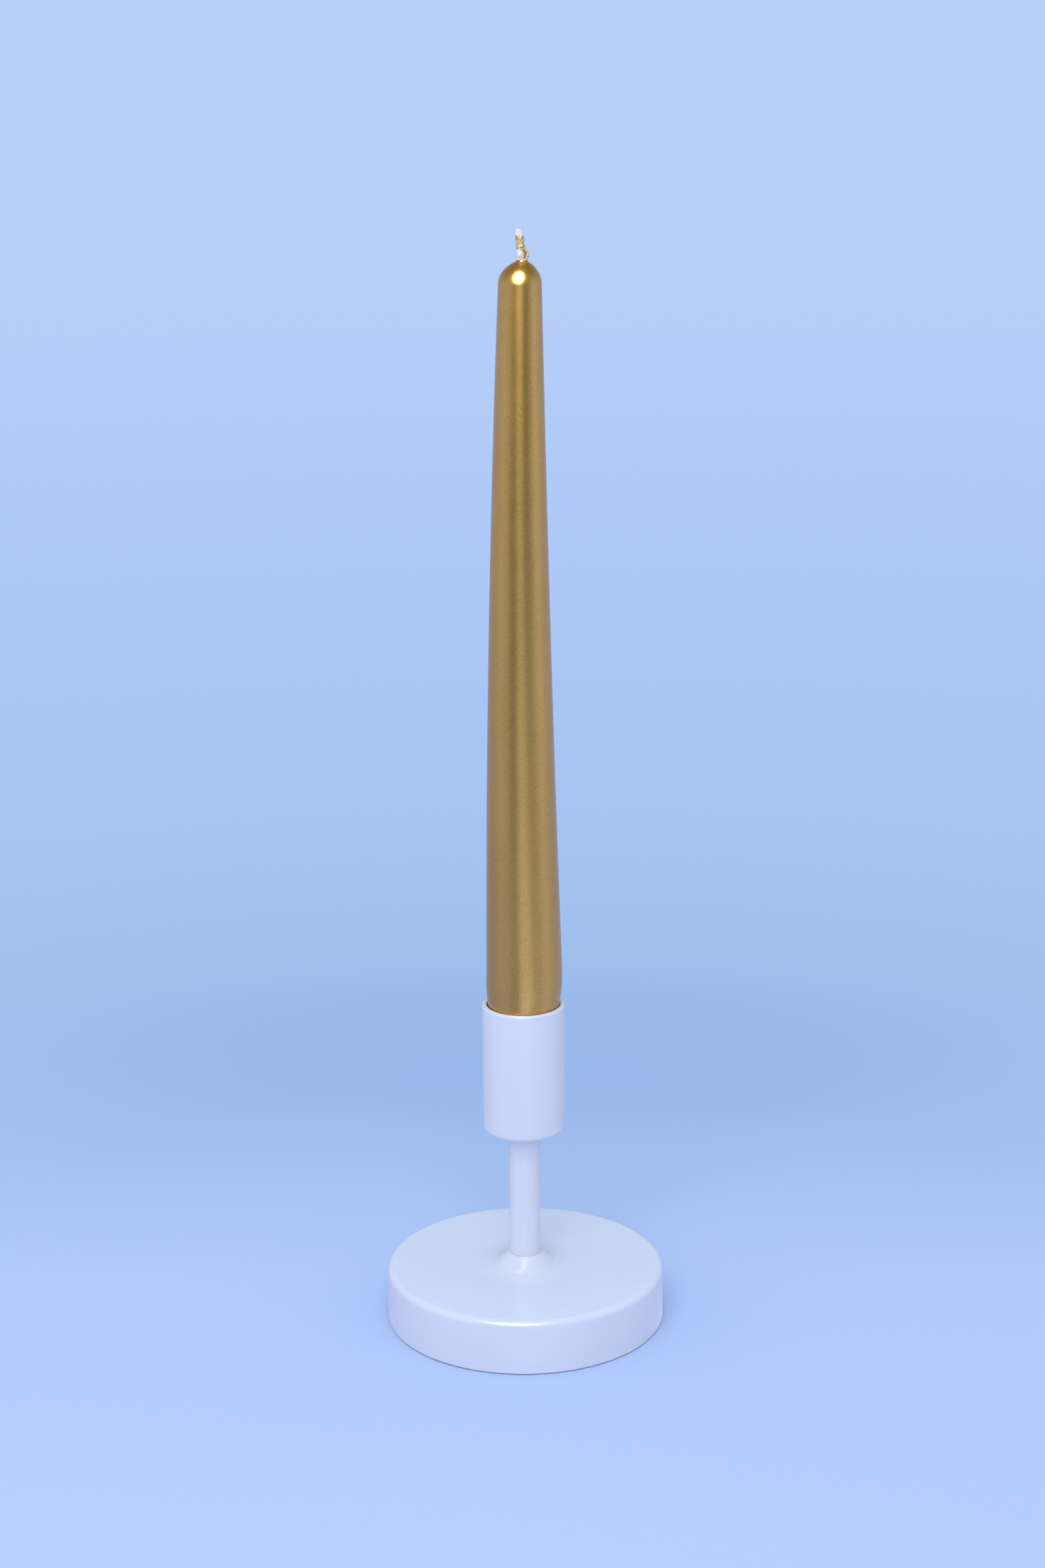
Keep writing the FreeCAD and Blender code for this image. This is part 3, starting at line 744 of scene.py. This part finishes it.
def model_wick_fray():
    """Loose threads at the wick's cut end, in millimetres until they are drawn."""
    thread_count, apart, thickness = 9, 2.4, 0.3 * MM  # apart is a turn, in radians
    threads = []
    for i in range(thread_count):
        turn = apart * i
        foot = Vector((0.75 * math.cos(turn), 0.75 * math.sin(turn), 0)) * (0.35 + 0.07 * i)
        middle = (wick_middle(8.2 * MM) - APEX) / MM + foot
        middle.z += cut_slant(foot.x * MM) / MM - 0.1
        out = foot * 0.35
        points = [
            (*(middle + Vector((0, 0, -0.4))), 1.0),
            (*middle, 1.0),
            (*(middle + out * 0.4 + Vector((0, 0, 0.35))), 0.9),
            (*(middle + out + Vector((0.1 * math.sin(5 * turn), 0, 0.55 + 0.05 * (i % 4)))), 0.5),
        ]
        threads.append(drawn_run(f"wick_fray_{i}", points, thickness))
    select_nothing()
    for thread in threads:
        thread.select_set(True)
    bpy.context.view_layer.objects.active = threads[0]
    bpy.ops.object.join()
    return seat(named("wick_fray"), "candle", "waxed_cotton", COTTON)


model_candle_coat()
model_wax_core()
model_wick_plait()
model_wick_gilding()
model_wick_knot()
model_wick_runs()
model_wick_fray()

# ---------------------------------------------------------------------------------------------
# The foot, and the fastenings inside
# ---------------------------------------------------------------------------------------------


def model_felt_pad():
    """A disc of pressed felt with a soft, slightly uneven edge."""
    top, radius = top_of("foot_pad"), radius_of("foot_pad")
    edge, rings, wool, hollows = 0.6 * MM, 24, 0.0035, 0.06 * MM
    section = [(radius * i / rings, 0) for i in range(rings)]
    section += corner(radius - edge, edge, edge, -90, 0, 5)
    section += corner(radius - edge * 0.4, top - edge * 0.4, edge * 0.4, 0, 90, 4)
    section += [(radius * (rings - 1 - i) / rings, top) for i in range(0, rings, 3)] + [(0, top)]
    piece = spun("felt_pad", section, 220)
    for v in piece.data.vertices:
        reach = math.hypot(v.co.x, v.co.y)
        rim = eased((reach - 0.95 * radius) / (0.05 * radius))
        uneven = 1 + rim * wool * (ripple(v.co, 700) + ripple(v.co, 1900) - 0.6)
        v.co.x *= uneven
        v.co.y *= uneven
        if v.co.z < 0.01 * MM:
            v.co.z += hollows * (0.5 + 0.5 * ripple(v.co, 380))
    smooth(piece, 60)
    return seat(piece, "holder", "grey_felt", grey_felt(), "foot_pad")


def finish_fastenings():
    """The weight, screw, bolt and washers keep their shape and get their metals."""
    zinc = zinc_plate()
    for node, metal in (
        ("base_weight", bare_iron()),
        ("cup_screw", zinc),
        ("base_bolt", zinc),
        ("flat_washer", zinc),
        ("spring_washer", zinc),
    ):
        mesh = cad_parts[node].data
        mesh.materials.clear()
        mesh.materials.append(metal)


model_felt_pad()
finish_fastenings()

# ---------------------------------------------------------------------------------------------
# Stage, light and camera
# ---------------------------------------------------------------------------------------------

HORIZON = (0.479, 0.624, 0.939)  # the paper's colour far away
ROOM = (0.645, 0.66, 0.70)  # the dim white room round the paper
CEILING = (0.35, 0.29, 0.18)  # what gloss sees overhead


def azimuth_of(look):
    """The compass direction from the stick, from 0 to 1: a half is straight in front."""
    across = look.node("ShaderNodeSeparateXYZ")
    look.link(look.place, across.inputs[0])
    front = look.node("ShaderNodeMath", operation="MULTIPLY")
    front.inputs[1].default_value = -1
    look.link(across.outputs["Y"], front.inputs[0])
    azimuth = look.node("ShaderNodeMath", operation="ARCTAN2")
    look.link(across.outputs["X"], azimuth.inputs[0])
    look.link(front.outputs[0], azimuth.inputs[1])
    return look.spread(azimuth.outputs[0], -math.pi, math.pi)


def far_painted_reflection(look):
    """Painted reflections round the stick that only gloss sees, by compass direction: two wide pale bands, a
    strip in front, and dark gaps between.
    """
    return look.colours(
        azimuth_of(look),
        (0.0, (0.34, 0.38, 0.56)),
        (0.18, (0.62, 0.66, 0.98)),
        (0.30, (0.74, 0.79, 1.20)),
        (0.37, (0.60, 0.64, 0.95)),
        (0.42, (0.122, 0.135, 0.128)),
        (0.46, (0.122, 0.135, 0.128)),
        (0.49, (0.475, 0.55, 0.72)),
        (0.53, (0.475, 0.55, 0.72)),
        (0.56, (0.17, 0.183, 0.178)),
        (0.60, (0.26, 0.28, 0.33)),
        (0.64, (0.52, 0.56, 0.80)),
        (0.70, (0.90, 0.97, 1.50)),
        (0.80, (0.66, 0.70, 1.05)),
        (1.0, (0.34, 0.38, 0.56)),
    )


def close_painted_reflection(look):
    """The paper beside the stick as its gloss sees it: a painted reflection by compass direction, brightest
    in a strip in front.
    """
    return look.colours(
        azimuth_of(look),
        (0.0, (0.34, 0.38, 0.64)),
        (0.20, (0.45, 0.51, 0.85)),
        (0.30, (0.57, 0.65, 1.20)),
        (0.37, (0.54, 0.62, 1.15)),
        (0.44, (0.38, 0.44, 0.80)),
        (0.49, (1.00, 1.16, 2.00)),
        (0.54, (0.96, 1.10, 1.90)),
        (0.60, (0.60, 0.69, 1.25)),
        (0.70, (0.74, 0.84, 1.45)),
        (0.80, (0.54, 0.61, 1.00)),
        (1.0, (0.34, 0.38, 0.64)),
    )


def studio_floor():
    """Pale blue paper, wide enough to run out of sight.

    Round the stick it is lit by the lamps. Behind it and further off it glows with its own light, as a
    backdrop has, with painted shade that darkens the glow nearer the stick; and the gloss of the object
    sees painted reflections on it, a paler and a darker ring of bands.
    """
    paper_radius = 400  # metres
    select_nothing()
    bpy.ops.mesh.primitive_circle_add(vertices=128, radius=paper_radius, fill_type="NGON", location=(0, 0, 0))
    paper = named("studio_floor")
    look = Shading("blue_paper")
    look.colour(look.colours(look.cloud(900), (0.3, (0.466, 0.560, 0.785)), (0.7, (0.478, 0.572, 0.795))))
    look.set(Roughness=0.9, Specular_IOR_Level=0.1)
    away = look.node("ShaderNodeVectorMath", operation="LENGTH")
    look.link(look.place, away.inputs[0])
    distance = away.outputs["Value"]
    # The glow's colour holds painted shade: darkest 20 cm from the stick, paling out to the horizon's colour.
    glow_with_painted_shade = look.colours(
        look.spread(distance, 0.2, 3.2),
        (0.0, (0.262, 0.438, 0.775)),
        (0.05, (0.356, 0.521, 0.850)),
        (0.15, (0.396, 0.551, 0.885)),
        (0.35, (0.423, 0.584, 0.939)),
        (1.0, HORIZON),
    )
    glow = look.node("ShaderNodeEmission")
    look.link(glow_with_painted_shade, glow.inputs["Color"])
    # Painted reflections for gloss rays: bands by compass direction, the close ring paler than the far one.
    level = look.blend(look.spread(distance, 0.3, 1.6), close_painted_reflection(look), far_painted_reflection(look))
    pale = look.node("ShaderNodeEmission")
    look.link(level, pale.inputs["Color"])
    ray = look.node("ShaderNodeLightPath")
    behind = look.node("ShaderNodeSeparateXYZ")
    look.link(look.place, behind.inputs[0])
    own_light = look.node("ShaderNodeMath", operation="MAXIMUM")
    look.link(look.spread(behind.outputs["Y"], 0.03, 0.30), own_light.inputs[0])
    look.link(look.spread(distance, 0.35, 1.2), own_light.inputs[1])
    far = look.node("ShaderNodeMixShader")
    look.link(own_light.outputs[0], far.inputs[0])
    look.link(look.surface.outputs[0], far.inputs[1])
    look.link(glow.outputs[0], far.inputs[2])
    # Gloss rays see the painted reflection glow instead of the paper.
    seen = look.node("ShaderNodeMixShader")
    look.link(ray.outputs["Is Glossy Ray"], seen.inputs[0])
    look.link(far.outputs[0], seen.inputs[1])
    look.link(pale.outputs[0], seen.inputs[2])
    look.link(seen.outputs[0], look.tree.nodes["Material Output"].inputs["Surface"])
    paper.data.materials.append(look.material)


def soft_box(name, azimuth, elevation, distance, width, height, glow, colour=(1, 1, 1), shape="RECTANGLE"):
    """A flat light that faces the stick's middle, at an azimuth from the front, in degrees."""
    stick_middle = Vector((0, 0, 0.18))
    light = bpy.data.lights.new(name, "AREA")
    light.shape = shape
    light.size, light.size_y = width, height
    light.energy = glow * math.pi * width * height
    light.color = colour
    lamp = bpy.data.objects.new(name, light)
    bpy.context.scene.collection.objects.link(lamp)
    turn, rise = math.radians(azimuth), math.radians(elevation)
    way = Vector((math.sin(turn) * math.cos(rise), -math.cos(turn) * math.cos(rise), math.sin(rise)))
    lamp.location = stick_middle + way * distance
    lamp.rotation_euler = (-way).to_track_quat("-Z", "Y").to_euler()
    lamp.visible_camera = False
    return lamp


class Sky(Shading):
    """The world's node tree, with the same short calls; its place is a direction."""

    def __init__(self, name):
        world = bpy.data.worlds.new(name)
        bpy.context.scene.world = world
        world.use_nodes = True
        self.tree = world.node_tree
        self.surface = self.tree.nodes["Background"]
        self.place = self.node("ShaderNodeTexCoord").outputs["Generated"]


def surroundings():
    """The room: seen directly it goes on from the paper, gloss sees painted reflections of bands round it and
    a darker ceiling, and the rest is even.
    """
    look = Sky("studio_air")
    look.surface.inputs["Color"].default_value = (*ROOM, 1)
    seen = look.node("ShaderNodeBackground")
    seen.inputs["Color"].default_value = (*HORIZON, 1)
    height = look.node("ShaderNodeSeparateXYZ")
    look.link(look.place, height.inputs[0])
    # Painted reflections for gloss rays: the bands low down, the darker ceiling colour higher up.
    painted_reflection_sky = look.blend(look.spread(height.outputs["Z"], 0.15, 0.75), far_painted_reflection(look), CEILING)
    mirrored = look.node("ShaderNodeBackground")
    look.link(painted_reflection_sky, mirrored.inputs["Color"])
    ray = look.node("ShaderNodeLightPath")
    choice = look.node("ShaderNodeMixShader")
    look.link(ray.outputs["Is Glossy Ray"], choice.inputs[0])
    look.link(look.surface.outputs[0], choice.inputs[1])
    look.link(mirrored.outputs[0], choice.inputs[2])
    direct = look.node("ShaderNodeMixShader")
    look.link(ray.outputs["Is Camera Ray"], direct.inputs[0])
    look.link(choice.outputs[0], direct.inputs[1])
    look.link(seen.outputs[0], direct.inputs[2])
    look.link(direct.outputs[0], look.tree.nodes["World Output"].inputs["Surface"])


EYE = Vector((0.25, -825.8, 399.5)) * MM
LOOKING_DOWN, TILT = math.radians(15.38), math.radians(-0.425)
FOCAL_LENGTH, SENSOR_HEIGHT = 65.8, 36.0  # millimetres


def camera():
    """A portrait lens in front of the stick and a little above its tip."""
    lens = bpy.data.cameras.new("camera")
    lens.sensor_fit = "VERTICAL"
    lens.sensor_height = SENSOR_HEIGHT
    lens.lens = FOCAL_LENGTH
    lens.clip_end = 1000  # metres, past the paper's edge
    eye = bpy.data.objects.new("camera", lens)
    bpy.context.scene.collection.objects.link(eye)
    level = math.radians(90)
    turn = Matrix.Rotation(level - LOOKING_DOWN, 4, "X") @ Matrix.Rotation(TILT, 4, "Z")
    eye.matrix_world = Matrix.Translation(EYE) @ turn
    bpy.context.scene.camera = eye


studio_floor()
surroundings()
soft_box("key", -9, 38, 1.3, 0.85, 0.85, 2.75).visible_glossy = False
soft_box("key_sheen", -10, 44, 1.1, 0.94, 1.12, 10.5, shape="ELLIPSE").visible_diffuse = False
soft_box("overhead", 0, 90, 1.2, 1.2, 1.2, 1.66, (0.16, 0.52, 1.0)).visible_glossy = False
soft_box("front_fill", -9, 6, 1.2, 0.9, 0.5, 0.75).visible_glossy = False
soft_box("left_fill", -82, 12, 0.8, 0.9, 0.5, 0.25).visible_glossy = False
soft_box("right_fill", 82, 12, 0.8, 0.9, 0.5, 0.15).visible_glossy = False
camera()
bpy.context.scene.view_settings.view_transform = "Standard"
